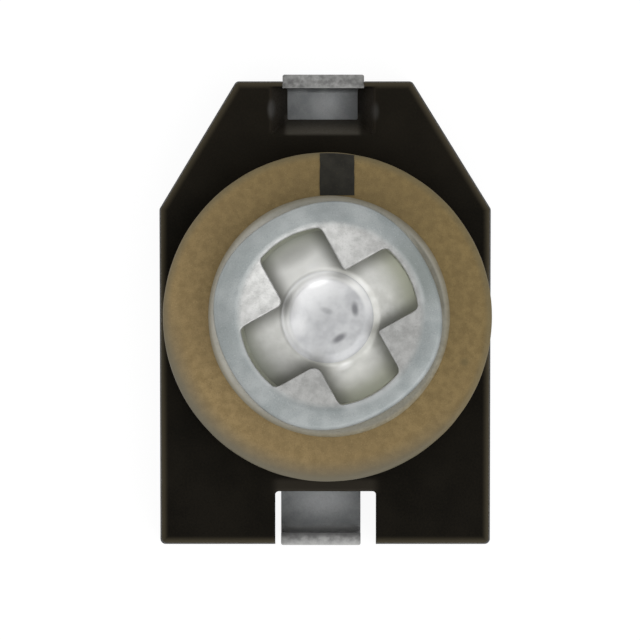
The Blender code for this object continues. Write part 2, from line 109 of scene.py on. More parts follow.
CUTTER_END = 3.0
CUT_OVERRUN = 0.3

# Ceramic disc, silver film and printed mark
CERAMIC_RADIUS = 1.59
CERAMIC_BORE = 0.28
CERAMIC_BOTTOM = 0.81
CERAMIC_TOP = 1.21
CERAMIC_RIM = 0.045
CERAMIC_FLAT_START = 0.40
BORE_CHAMFER = 0.02
FILM_BOTTOM = 1.215
FILM_TOP = 1.235
FILM_RADIUS = 1.167
FILM_BORE = 0.60
FILM_MIDDLE = (0.016, 0.006)
MARK_MIDDLE_X = 0.0935
MARK_HALF = 0.1665
MARK_START_Y = 1.175
MARK_OUTER = 1.584
MARK_GAP = 0.002
MARK_SHEET = 0.006

# Driver cap: its slot, its bend and its outer edge each have their own middle
CAP_MIDDLE = (0.005, 0.012)
BEND_MIDDLE = (0.015, 0.004)
SLOT_MIDDLE = (0.032, -0.007)
CAP_RADIUS = 1.094
CAP_WAVE = 0.020
CAP_BOTTOM = 1.24
CAP_TOP = 1.60
CAP_SHEET = 0.10
CAP_EDGE = 0.05
CAP_EDGE_START = 78
RING_INNER = 0.86
RING_STEP = 0.010
RING_STEP_WIDTH = 0.06
RING_FALL = 0.012
RING_FALL_START = 0.93
LOBE_SLOPE = 0.264
SLOT_HALF = 0.334
SLOT_END = 0.862
SLOT_ANGLE = 29.0
SLOT_SEARCH = (0.05, 1.2)
SLOT_EDGE = 0.016
ARM_END_EDGE = 0.03
ARM_WAY = SLOT_ANGLE + 90.0
LOBE_CORNER = 0.03
# Middle of the cap's colour rings, and radius of the painted highlight along the ring's bend
CAP_COLOUR_MIDDLE = (0.03, 0.02)
BEND_HIGHLIGHT_RADIUS = 0.90
TIP_ROUNDS = {45: 0.03, 135: 0.07, 225: 0.09, 315: 0.03}
CAP_FOOT_CHAMFER = 0.012
CAP_INSIDE_CHAMFER = 0.03
CAP_STEPS = 720

# Spring washer and centre pin
WASHER_MIDDLE = (0.03, 0.0)
WASHER_RADIUS = 0.84
WASHER_SHOULDER = 0.47
WASHER_BORE = 0.30
WASHER_BORE_CHAMFER = 0.015
WASHER_SHEET = 0.05
WASHER_RISE = 0.099
WASHER_HOLLOW = 1.8
WASHER_FOOT = 1.237
WASHER_FOOT_EDGE = 0.004
PIN_HEAD_TOP = 1.398
PIN_HEAD_BOTTOM = 1.344
PIN_CREST = 0.35
PIN_SLOPE_END = 0.445
PIN_LIP = 0.004
PIN_DISH_DEPTH = 0.033
PIN_DISH_MIDDLE = (0.20, -0.13)
PIN_DISH_FLOOR = 0.34
PIN_DISH_REACH = 0.70
PIN_SHANK = 0.25
PIN_FOOT_RADIUS = 0.42
PIN_FOOT_TOP = 0.265
PIN_FOOT_BOTTOM = 0.175

# Floor, world and lamp. ZENITH is how bright a direction is mirrored, by how high it points:
# from 1.0 at and below the first height to 0.7 at and above the second.
FLOOR_HALF = 60.0
FLOOR_HEIGHT = -0.004
FLOOR_COLOUR = (0.86, 0.86, 0.86, 1.0)
FLOOR_GLOW = 1.08
FLOOR_GLOW_SHARE = 0.85
WORLD_LEVEL = 0.74
ZENITH = (0.55, 0.95, 1.0, 0.7)
KEY_AZIMUTH = -48.0
KEY_ELEVATION = 52.0
KEY_SPREAD = 60.0
KEY_STRENGTH = 0.98

# The usual noise field, as size, detail and roughness. Colours follow such a field between its
# usual lowest and highest values. An oval mark is full up to MARK_CORE of the way to its edge.
GRAIN = (0.02, 3.0, 0.6)
NOISE_LOW = 0.3
NOISE_HIGH = 0.7
MARK_CORE = 0.2

# Unevenness of the surfaces: its depth, the size over which it changes, and a seed.
# Starts and ends are the radii over which it comes and goes.
MARK_EDGE_WOBBLE = (0.005, 0.12, 1.0)
CERAMIC_CHIPS = (0.002, 0.12, 3.0)
PIN_DENTS = (0.0015, 0.16, 4.0)
LOBE_DENTS = (0.0035, 0.22, 5.0)
LOBE_DENTS_END = (0.80, 0.95)
CAP_DENTS = (0.0015, 0.10, 6.0)
WASHER_INNER_DENTS = (0.002, 0.16, 7.0)
WASHER_OUTER_DENTS = (0.003, 0.16, 7.0)
WASHER_OUTER_START = (0.45, 0.52)
WASHER_DENTS_END = (0.60, 0.78)
FILM_EDGE_WOBBLE = (0.006, 0.5, 8.0)


# Meshes

def wobble(x, y, z, depth, size, seed):
    """A smooth random height from about -depth to depth, which changes over the given size."""
    place = Vector((x / size + seed, y / size - seed, z / size + 0.5 * seed))
    return depth * noise.noise(place)


def smooth(value, low, high):
    """0 up to low, 1 from high on, and a soft change in between."""
    share = min(max((value - low) / (high - low), 0.0), 1.0)
    return share * share * (3 - 2 * share)


def skin(rings, joined=False):
    """Points and faces of a closed surface through rings of points.

    The last ring joins the first one, or else both ends are capped.
    """
    count, size = len(rings), len(rings[0])
    points = [point for ring in rings for point in ring]
    faces = []
    for row in range(count if joined else count - 1):
        this, after = row * size, (row + 1) % count * size
        for column in range(size):
            beside = (column + 1) % size
            faces.append((this + column, this + beside, after + beside, after + column))
    if not joined:
        faces.append(tuple(range(size)))
        faces.append(tuple(range((count - 1) * size, count * size)))
    return points, faces


def solid(name, points, faces, crease=CREASE):
    """An object from points in millimetres, smooth apart from edges sharper than crease."""
    mesh = bpy.data.meshes.new(name)
    mesh.from_pydata([(x * MM, y * MM, z * MM) for x, y, z in points], [], faces)
    piece = bpy.data.objects.new(name, mesh)
    bpy.context.scene.collection.objects.link(piece)
    clean(piece, crease)
    return piece


def clean(piece, crease):
    """Merges doubled points, turns all faces outwards and marks the sharp edges."""
    shape = bmesh.new()
    shape.from_mesh(piece.data)
    bmesh.ops.remove_doubles(shape, verts=shape.verts, dist=MERGE_DISTANCE)
    bmesh.ops.dissolve_degenerate(shape, edges=shape.edges, dist=MERGE_DISTANCE)
    bmesh.ops.recalc_face_normals(shape, faces=shape.faces)
    for face in shape.faces:
        face.smooth = True
    for edge in shape.edges:
        if len(edge.link_faces) == 2:
            edge.smooth = edge.calc_face_angle() < math.radians(crease)
    shape.to_mesh(piece.data)
    shape.free()


def settle(piece):
    """Replaces a piece's mesh by what its modifiers make of it."""
    graph = bpy.context.evaluated_depsgraph_get()
    made = bpy.data.meshes.new_from_object(piece.evaluated_get(graph))
    piece.modifiers.clear()
    piece.data = made


def cut(piece, cutters):
    """Takes the cutters out of a piece and removes them."""
    for cutter in cutters:
        boolean = piece.modifiers.new(cutter.name, "BOOLEAN")
        boolean.operation = "DIFFERENCE"
        boolean.solver = "EXACT"
        boolean.object = cutter
    settle(piece)
    for cutter in cutters:
        bpy.data.objects.remove(cutter)


def tighten_corners(mesh, old_radius, new_radius):
    """Makes the two rounded corners at a terminal's outer end nearly square."""
    end = max((vertex.co.y for vertex in mesh.vertices), key=abs)
    outwards = math.copysign(1.0, end)
    outer = [vertex for vertex in mesh.vertices if vertex.co.y * outwards > abs(end) - 2 * old_radius]
    share = new_radius / old_radius
    rounding_error = 1e-9
    for side in (-1.0, 1.0):
        edge = max(vertex.co.x * side for vertex in outer) * side
        for vertex in outer:
            across = (vertex.co.x - edge) * side + old_radius
            away = (vertex.co.y - end) * outwards + old_radius
            if min(across, away) >= -rounding_error:
                vertex.co.x = edge - side * (new_radius - across * share)
                vertex.co.y = end - outwards * (new_radius - away * share)


def refined(name, node):
    """A copy of a CAD terminal with merged faces, tighter corners and softly rounded edges."""
    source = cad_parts[node]
    piece = bpy.data.objects.new(name, source.data.copy())
    bpy.context.scene.collection.objects.link(piece)
    shape = bmesh.new()
    shape.from_mesh(piece.data)
    bmesh.ops.remove_doubles(shape, verts=shape.verts, dist=CAD_MERGE_DISTANCE)
    bmesh.ops.dissolve_limit(
        shape, angle_limit=math.radians(1), verts=shape.verts, edges=shape.edges
    )
    shape.to_mesh(piece.data)
    shape.free()
    tighten_corners(piece.data, CAD_TAB_CORNER * MM, TAB_CORNER * MM)
    bevel = piece.modifiers.new("edges", "BEVEL")
    bevel.width = TAB_EDGE_ROUND * MM
    bevel.segments = 3
    bevel.limit_method = "ANGLE"
    bevel.angle_limit = math.radians(TERMINAL_CREASE)
    settle(piece)
    clean(piece, TERMINAL_CREASE)
    return piece


def weigh_normals(piece):
    """Keeps large flat faces flat where they meet small round ones."""
    weighted = piece.modifiers.new("shading", "WEIGHTED_NORMAL")
    weighted.keep_sharp = True
    settle(piece)


def inward_of(start, end):
    """The direction across a side, into the outline. The outline runs anticlockwise."""
    way = (Vector(end) - Vector(start)).normalized()
    return Vector((-way.y, way.x))


def offset_outline(corners, distance):
    """A polygon with each side moved inwards by a distance. Its corners run anticlockwise."""
    lines = []
    for start, end in zip(corners, corners[1:] + corners[:1]):
        way = (Vector(end) - Vector(start)).normalized()
        lines.append((Vector(start) + inward_of(start, end) * distance, way))
    moved = []
    for (spot, way), (other, turn) in zip(lines[-1:] + lines[:-1], lines):
        cross = way.x * turn.y - way.y * turn.x
        gap = other - spot
        reach = (gap.x * turn.y - gap.y * turn.x) / cross
        moved.append(spot + way * reach)
    return moved


def rounded_outline(corners, radius, steps=6):
    """The outline with each corner replaced by an arc."""
    points = []
    count = len(corners)
    for index in range(count):
        corner = Vector(corners[index])
        back = (Vector(corners[index - 1]) - corner).normalized()
        ahead = (Vector(corners[(index + 1) % count]) - corner).normalized()
        half = back.angle(ahead) / 2
        reach = radius / math.tan(half)
        start, end = corner + back * reach, corner + ahead * reach
        middle = corner + (back + ahead).normalized() * radius / math.sin(half)
        for step in range(steps + 1):
            spoke = (start - middle).lerp(end - middle, step / steps).normalized()
            spot = middle + spoke * radius
            points.append((spot.x, spot.y))
    return points


def arc(centre, radius, start, end, steps):
    points = []
    for step in range(steps + 1):
        angle = math.radians(start + (end - start) * step / steps)
        points.append((centre[0] + radius * math.cos(angle), centre[1] + radius * math.sin(angle)))
    return points


def rectangle(left, right, south, north):
    return [(left, south), (right, south), (right, north), (left, north)]


def stacked(name, outlines):
    """A solid through outlines that lie at the given heights."""
    return solid(name, *skin([[(x, y, z) for x, y in outline] for outline, z in outlines]))


def base_corners():
    return [
        (BASE_MIDDLE_X - BASE_SOUTH_HALF, -BASE_SOUTH),
        (BASE_MIDDLE_X + BASE_SOUTH_HALF, -BASE_SOUTH),
        (BASE_MIDDLE_X + BASE_WIDEST_HALF, CHAMFER_START),
        (NORTH_END_MIDDLE_X + NORTH_END_HALF, BASE_NORTH),
        (NORTH_END_MIDDLE_X - NORTH_END_HALF, BASE_NORTH),
        (BASE_MIDDLE_X - BASE_WIDEST_HALF, CHAMFER_START),
    ]


def base_block():
    """The uncut moulding with its draft, the chamfer at its foot and its rounded top edge."""
    levels = [(0.0, BASE_FOOT_CHAMFER), (BASE_FOOT_CHAMFER, 0.0)]
    shoulder = BASE_TOP - BASE_TOP_ROUND
    inset = BASE_DRAFT * shoulder / BASE_TOP
    for out, up in arc((0.0, 0.0), BASE_TOP_ROUND, 0, 90, 8):
        levels.append((shoulder + up, inset + BASE_TOP_ROUND - out))
    return stacked("resin_base", [
        (rounded_outline(offset_outline(base_corners(), inwards), BASE_CORNER), z) for z, inwards in levels
    ])


def notch_cutter():
    """A cutter right through the base, which opens in a round lip at the foot and at the top."""
    corners = rectangle(NOTCH_LEFT, NOTCH_RIGHT, -CUTTER_END, -NOTCH_BACK)
    flare = []
    for angle in (0, 15, 30, 45, 60, 75):
        turn = math.radians(angle)
        flare.append((LIP_ROUND * (1 - math.cos(turn)), LIP_ROUND * (1 - math.sin(turn))))
    out, up = flare[-1]
    mouth_out = out + LIP_ROUND / 2
    mouth_up = up - LIP_ROUND / 2 / math.tan(turn)
    levels = [(mouth_out, -CUT_OVERRUN), (mouth_out, mouth_up), *reversed(flare)]
    levels += [(out, BASE_TOP - up) for out, up in reversed(levels)]
    return stacked("notch", [
        (rounded_outline(offset_outline(corners, -out), NOTCH_CORNER + out), z) for out, z in levels
    ])


def window_cutter():
    """The window's funnel, which opens in a round lip at the base's top."""
    lip_half = WINDOW_TOP_HALF - WINDOW_LIP_INSET
    lip_back = WINDOW_TOP_BACK + WINDOW_LIP_INSET
    lip_start = BASE_TOP - WINDOW_LIP_DEPTH
    levels = []
    for share in np.linspace(-0.05, 1.0, 8):
        levels.append((
            WINDOW_FLOOR_HALF + (lip_half - WINDOW_FLOOR_HALF) * share,
            WINDOW_FLOOR_BACK + (lip_back - WINDOW_FLOOR_BACK) * share,
            WINDOW_FLOOR + (lip_start - WINDOW_FLOOR) * share,
        ))
    for angle in (20, 40, 60, 75):
        turn = math.radians(angle)
        out = WINDOW_LIP * (1 - math.cos(turn))
        levels.append((lip_half + out, lip_back - out, lip_start + WINDOW_LIP_DEPTH * math.sin(turn)))
    half, back, _ = levels[-1]
    for z in (BASE_TOP + 0.2 * WINDOW_LIP_DEPTH, BASE_TOP + CUT_OVERRUN):
        levels.append((half + WINDOW_LIP_FLARE, back - WINDOW_LIP_FLARE, z))
    outlines = []
    front = WINDOW_FRONT + WINDOW_FRONT_CUT
    for half, back, z in levels:
        corners = rectangle(WINDOW_MIDDLE_X - half, WINDOW_MIDDLE_X + half, back, front)
        outlines.append((rounded_outline(corners, WINDOW_CORNER), z))
    return stacked("window", outlines)


def straight_cutter(name, sheet, ends, gap, top):
    """A box from below the base up to a height, with a gap on either side of a terminal's sheet."""
    corners = rectangle(sheet[0] - gap, sheet[1] + gap, *ends)
    return stacked(name, [(corners, -CUT_OVERRUN), (corners, top)])


def terminal_cutters():
    """The slot that the north terminal's end stands in, and room for both terminals' tongues."""
    north = (NORTH_TAB_MIDDLE_X - TAB_HALF, NORTH_TAB_MIDDLE_X + TAB_HALF)
    south = (SOUTH_TAB_LEFT, SOUTH_TAB_RIGHT)
    slot_ends = (WINDOW_FRONT - TAB_SLOT_GAP, CUTTER_END)
    north_ends = (NORTH_CHANNEL_BACK, CUTTER_END)
    south_ends = (-CUTTER_END, -SOUTH_CHANNEL_BACK)
    return [
        straight_cutter("slot", north, slot_ends, TAB_SLOT_GAP, BASE_TOP + CUT_OVERRUN),
        straight_cutter("channel", north, north_ends, CHANNEL_GAP, WINDOW_FLOOR + CHANNEL_GAP),
        straight_cutter("channel", south, south_ends, CHANNEL_GAP, SOUTH_SHEET + CHANNEL_GAP),
    ]


def base_piece():
    """The resin moulding with its notch, its window and the room for its terminals."""
    piece = base_block()
    cut(piece, [notch_cutter(), window_cutter(), *terminal_cutters()])
    clean(piece, BASE_CREASE)
    weigh_normals(piece)
    return piece


def lathe(name, profile, shape, steps, middle=(0.0, 0.0), joined=True):
    """A profile of (radius, height) turned about an upright axis.

    shape moves each point: it gets radius, angle and height and returns radius and height.
    """
    rings = []
    for radius, height in profile:
        ring = []
        for step in range(steps):
            angle = math.tau * step / steps
            out, z = shape(radius, angle, height)
            ring.append((middle[0] + out * math.cos(angle), middle[1] + out * math.sin(angle), z))
        rings.append(ring)
    return solid(name, *skin(rings, joined))


def ceramic_piece():
    """The disc with its rounded rim, which is chipped a little."""
    rim, foot = CERAMIC_RIM, CERAMIC_RIM / 2
    flat = np.linspace(CERAMIC_FLAT_START, CERAMIC_RADIUS - rim - 0.02, 16)
    profile = [(CERAMIC_BORE + BORE_CHAMFER, CERAMIC_TOP)]
    profile += [(radius, CERAMIC_TOP) for radius in flat]
    profile += arc((CERAMIC_RADIUS - rim, CERAMIC_TOP - rim), rim, 90, 0, 8)
    profile += arc((CERAMIC_RADIUS - foot, CERAMIC_BOTTOM + foot), foot, 0, -90, 4)
    profile += [(CERAMIC_BORE, CERAMIC_BOTTOM), (CERAMIC_BORE, CERAMIC_TOP - BORE_CHAMFER)]

    def shape(radius, angle, height):
        if radius > CERAMIC_RADIUS - 0.7 * rim:
            radius += wobble(math.cos(angle), math.sin(angle), height, *CERAMIC_CHIPS)
        return radius, height

    return lathe("ceramic_disc", profile, shape, 360)


def film_piece():
    """The silver film, with a bevelled and slightly uneven outer edge."""
    half = (FILM_TOP - FILM_BOTTOM) / 2
    profile = [
        (FILM_BORE, FILM_TOP),
        (FILM_RADIUS - 5 * half, FILM_TOP),
        (FILM_RADIUS - 2 * half, FILM_TOP - 0.4 * half),
        (FILM_RADIUS, FILM_BOTTOM + 0.4 * half),
        (FILM_RADIUS, FILM_BOTTOM),
        (FILM_BORE, FILM_BOTTOM),
    ]

    def shape(radius, angle, height):
        return radius + wobble(math.cos(angle), math.sin(angle), 0.0, *FILM_EDGE_WOBBLE), height

    return lathe("silver_film", profile, shape, 360, FILM_MIDDLE)


def ceramic_height(radius):
    """The height of the disc's top, with its rounded rim."""
    over = radius - (CERAMIC_RADIUS - CERAMIC_RIM)
    if over <= 0:
        return CERAMIC_TOP
    return CERAMIC_TOP - CERAMIC_RIM + math.sqrt(max(CERAMIC_RIM ** 2 - over ** 2, 0.0))


def mark_piece():
    """The printed bar, which runs over the disc's rounded rim and has slightly uneven edges."""
    rings = []
    for share in np.linspace(0.0, 1.0, 41):
        top, bottom = [], []
        for side in np.linspace(-1.0, 1.0, 15):
            half = MARK_HALF + wobble(share, side, 0.0, *MARK_EDGE_WOBBLE)
            x = MARK_MIDDLE_X + side * half
            end = math.sqrt(MARK_OUTER ** 2 - x ** 2)
            y = MARK_START_Y + (end - MARK_START_Y) * (1 - (1 - share) ** 2)
            z = ceramic_height(math.hypot(x, y)) + MARK_GAP
            top.append((x, y, z + MARK_SHEET))
            bottom.append((x, y, z))
        rings.append(top + bottom[::-1])
    return solid("printed_mark", *skin(rings))


def slot_distance(x, y):
    """How far a point, measured from the bend's middle, lies outside the cross slot."""
    turn = math.radians(-SLOT_ANGLE)
    from_slot_x = x + BEND_MIDDLE[0] - SLOT_MIDDLE[0]
    from_slot_y = y + BEND_MIDDLE[1] - SLOT_MIDDLE[1]
    u = from_slot_x * math.cos(turn) - from_slot_y * math.sin(turn)
    v = from_slot_x * math.sin(turn) + from_slot_y * math.cos(turn)
    corner = round((math.degrees(math.atan2(v, u)) - 45) / 90) * 90 + 45
    tip = TIP_ROUNDS[corner % 360]
    across, along = abs(v) - SLOT_HALF, abs(u) - SLOT_HALF
    if across < tip and along < tip:
        lobe = tip - math.hypot(tip - across, tip - along)
    else:
        lobe = min(across, along)
    end = (math.hypot(x, y) - SLOT_END) * SLOT_EDGE / ARM_END_EDGE
    if min(lobe, end) > -LOBE_CORNER:
        return math.hypot(lobe + LOBE_CORNER, end + LOBE_CORNER) - LOBE_CORNER
    return max(lobe, end)


def slot_radius(angle, distance):
    """The radius at which a ray from the cap's middle is a given distance outside the slot."""
    low, high = SLOT_SEARCH
    for _ in range(40):
        middle = (low + high) / 2
        if slot_distance(middle * math.cos(angle), middle * math.sin(angle)) < distance:
            low = middle
        else:
            high = middle
    return high


def cap_outer(angle):
    """The cap's outer edge, measured from the bend's middle: a little flat beside each arm."""
    away_x, away_y = CAP_MIDDLE[0] - BEND_MIDDLE[0], CAP_MIDDLE[1] - BEND_MIDDLE[1]
    along = away_x * math.cos(angle) + away_y * math.sin(angle)
    across = away_y * math.cos(angle) - away_x * math.sin(angle)
    edge = CAP_RADIUS - CAP_WAVE * math.cos(4 * (angle - math.radians(SLOT_ANGLE)))
    return along + math.sqrt(edge ** 2 - across ** 2)


def cap_height(radius, angle):
    """The cap's top: a flat ring, a step down at its inner bend, and lobes that lean inwards."""
    x, y = radius * math.cos(angle), radius * math.sin(angle)
    height = CAP_TOP - RING_STEP * (1 - smooth(radius, RING_INNER, RING_INNER + RING_STEP_WIDTH))
    height -= LOBE_SLOPE * max(RING_INNER - radius, 0.0)
    height -= RING_FALL * smooth(radius, RING_FALL_START, CAP_RADIUS) ** 2
    height += wobble(x, y, 0.0, *LOBE_DENTS) * (1 - smooth(radius, *LOBE_DENTS_END))
    height += wobble(x, y, 0.0, *CAP_DENTS)
    return min(height, CAP_TOP)


def cap_column(angle):
    """The cap's section at an angle: from the slot's edge out to the skirt, and back underneath."""
    column = []
    for share, drop in ((0.0, 1.0), (0.1, 0.55), (0.3, 0.25), (0.6, 0.07), (1.0, 0.0)):
        radius = slot_radius(angle, SLOT_EDGE * share)
        column.append((radius, cap_height(radius, angle) - SLOT_EDGE * drop))
    inner, outer = radius, cap_outer(angle)
    step_start = max(RING_INNER - 0.002, inner + 0.005)
    step_end = RING_INNER + RING_STEP_WIDTH + 0.002
    flat_end = outer - CAP_EDGE
    for start, end, count in ((inner, step_start, 15), (step_start, step_end, 7), (step_end, flat_end, 10)):
        column += [(radius, cap_height(radius, angle)) for radius in np.linspace(start, end, count)[1:]]
    rim_top = cap_height(flat_end, angle)
    column += arc((flat_end, rim_top - CAP_EDGE), CAP_EDGE, CAP_EDGE_START, 0, 6)
    wall, ceiling = outer - CAP_SHEET, CAP_TOP - CAP_SHEET
    column += [
        (outer, CAP_BOTTOM + CAP_FOOT_CHAMFER),
        (outer - CAP_FOOT_CHAMFER, CAP_BOTTOM),
        (wall + CAP_FOOT_CHAMFER, CAP_BOTTOM),
        (wall, CAP_BOTTOM + CAP_FOOT_CHAMFER),
        (wall, ceiling - CAP_INSIDE_CHAMFER),
        (wall - CAP_INSIDE_CHAMFER, ceiling),
    ]
    for radius in (step_end, step_start, inner):
        radius = min(radius, wall - CAP_INSIDE_CHAMFER - 0.01)
        column.append((radius, cap_height(radius, angle) - CAP_SHEET))
    radius = slot_radius(angle, 0.0)
    column.append((radius, cap_height(radius, angle) - CAP_SHEET + CAP_FOOT_CHAMFER))
    return column


def cap_piece():
    """The driver cap as one closed skin, ring after ring from the slot's edge to the skirt and back."""
    angles = [math.tau * step / CAP_STEPS for step in range(CAP_STEPS)]
    columns = [cap_column(angle) for angle in angles]
    rings = []
    for row in zip(*columns):
        rings.append([
            (BEND_MIDDLE[0] + radius * math.cos(angle), BEND_MIDDLE[1] + radius * math.sin(angle), z)
            for angle, (radius, z) in zip(angles, row)
        ])
    return solid("driver_cap", *skin(rings, joined=True), crease=CAP_CREASE)


def washer_height(radius):
    """The washer's top: a flat collar, then a hollow slope that runs out on the silver film."""
    share = (radius - WASHER_SHOULDER) / (WASHER_RADIUS - WASHER_SHOULDER)
    share = min(max(share, 0.0), 1.0)
    return WASHER_FOOT + WASHER_FOOT_EDGE + WASHER_RISE * (1 - share) ** WASHER_HOLLOW


def washer_piece():
    """The pressed washer, a little off the axis, as it lies under the pin's head."""
    inner = WASHER_BORE + WASHER_BORE_CHAMFER
    collar = washer_height(WASHER_BORE)
    profile = [(radius, washer_height(radius)) for radius in np.linspace(inner, WASHER_RADIUS, 34)]
    profile.append((WASHER_RADIUS, WASHER_FOOT))
    for radius in np.linspace(WASHER_RADIUS - 0.01, inner, 16):
        profile.append((radius, max(washer_height(radius) - WASHER_SHEET, WASHER_FOOT)))
    profile.append((WASHER_BORE, collar - WASHER_SHEET + WASHER_BORE_CHAMFER))
    profile.append((WASHER_BORE, collar - WASHER_BORE_CHAMFER))

    def shape(radius, angle, height):
        x, y = radius * math.cos(angle), radius * math.sin(angle)
        dent = wobble(x, y, 0.0, *WASHER_INNER_DENTS)
        dent += wobble(x, y, 0.0, *WASHER_OUTER_DENTS) * smooth(radius, *WASHER_OUTER_START)
        dent *= 1 - smooth(radius, *WASHER_DENTS_END)
        return radius, max(height + dent, WASHER_FOOT)

    return lathe("pressed_washer", profile, shape, 192, WASHER_MIDDLE)


def pin_piece():
    """The centre pin: a crimped head with a shallow bowl, and a soft slope down to the washer."""
    lip = PIN_HEAD_BOTTOM + PIN_LIP
    profile = [(0.0, PIN_HEAD_TOP)]
    profile += [(radius, PIN_HEAD_TOP) for radius in np.linspace(0.02, PIN_SLOPE_END, 44)]
    profile += [
        (PIN_SLOPE_END, PIN_HEAD_BOTTOM),
        (PIN_SHANK, PIN_HEAD_BOTTOM),
        (PIN_SHANK, PIN_FOOT_TOP),
        (PIN_FOOT_RADIUS, PIN_FOOT_TOP),
        (PIN_FOOT_RADIUS, PIN_FOOT_BOTTOM),
        (0.0, PIN_FOOT_BOTTOM),
    ]

    def shape(radius, angle, height):
        if height < PIN_HEAD_TOP:
            return radius, height
        x, y = radius * math.cos(angle), radius * math.sin(angle)
        away = math.hypot(x - PIN_DISH_MIDDLE[0], y - PIN_DISH_MIDDLE[1])
        sunk = PIN_DISH_DEPTH * (1 - smooth(away, PIN_DISH_FLOOR, PIN_DISH_REACH))
        dent = wobble(x, y, 0.0, *PIN_DENTS) - PIN_DENTS[0]
        top = height - sunk + dent
        share = smooth(radius, PIN_CREST, PIN_SLOPE_END)
        return radius, top + (lip - top) * share

    return lathe("pin_head", profile, shape, 192, joined=False)


# Materials

Mark = namedtuple("Mark", "shade middle angle length width strength")


class Layer:
    """A shade laid over a colour, as strong as the product of its strength and its ranges.

    A range is named after the field that it goes by. (low, high, at_low, at_high) goes softly from
    one strength to the other, and (low, high, soft) is 1 between its ends. The range called side
    goes by the distance from the axis in one direction, which comes first in it. Shades are given
    in 0 to 255, as they look.
    """

    def __init__(self, shade, strength=1.0, **ranges):
        self.shade = shade
        self.strength = strength
        self.ranges = ranges


def linear(shade):
    """Linear values of a shade."""
    made = []
    for value in shade:
        value /= 255
        made.append(value / 12.92 if value <= 0.04045 else ((value + 0.055) / 1.055) ** 2.4)
    return (*made, 1.0)


class Graph:
    """Adds nodes to a tree. A value is a number, a tuple or the output of another node."""

    def __init__(self, tree):
        self.tree = tree

    def feed(self, socket, value):
        if isinstance(value, bpy.types.NodeSocket):
            self.tree.links.new(value, socket)
        else:
            socket.default_value = value

    def add(self, kind, inputs, **settings):
        """A node with its settings, and with its inputs given by name or by number."""
        node = self.tree.nodes.new("ShaderNode" + kind)
        for name, value in settings.items():
            setattr(node, name, value)
        for name, value in inputs.items():
            self.feed(node.inputs[name], value)
        return node

    def calculate(self, operation, first, second):
        return self.add("Math", {0: first, 1: second}, operation=operation).outputs["Value"]

    def product(self, first, *others):
        for other in others:
            first = self.calculate("MULTIPLY", first, other)
        return first

    def vector_step(self, operation, first, second=(0.0, 0.0, 0.0)):
        node = self.add("VectorMath", {0: first, 1: second}, operation=operation)
        return node.outputs["Value" if operation in ("LENGTH", "DOT_PRODUCT") else "Vector"]

    def coordinates(self, vector):
        return self.add("SeparateXYZ", {0: vector}).outputs

    def spread(self, value, low, high, at_low, at_high):
        """Goes softly from at_low to at_high while the value goes from low to high."""
        ends = {"From Min": low, "From Max": high, "To Min": at_low, "To Max": at_high}
        inputs = {"Value": value, **ends}
        return self.add("MapRange", inputs, interpolation_type="SMOOTHSTEP").outputs["Result"]

    def between(self, value, low, high, soft):
        """1 between two values and 0 outside, with soft ends."""
        start = self.spread(value, low - soft, low + soft, 0.0, 1.0)
        end = self.spread(value, high - soft, high + soft, 1.0, 0.0)
        return self.product(start, end)

    def mixed(self, share, first, second, kind="MIX"):
        """A colour between two, by a share; kind MULTIPLY darkens the first by the second."""
        node = self.add("Mix", {}, data_type="RGBA", blend_type=kind)
        sockets = [socket for socket in node.inputs if socket.enabled]
        for socket, value in zip(sockets, (share, first, second)):
            self.feed(socket, value)
        return [socket for socket in node.outputs if socket.enabled][0]


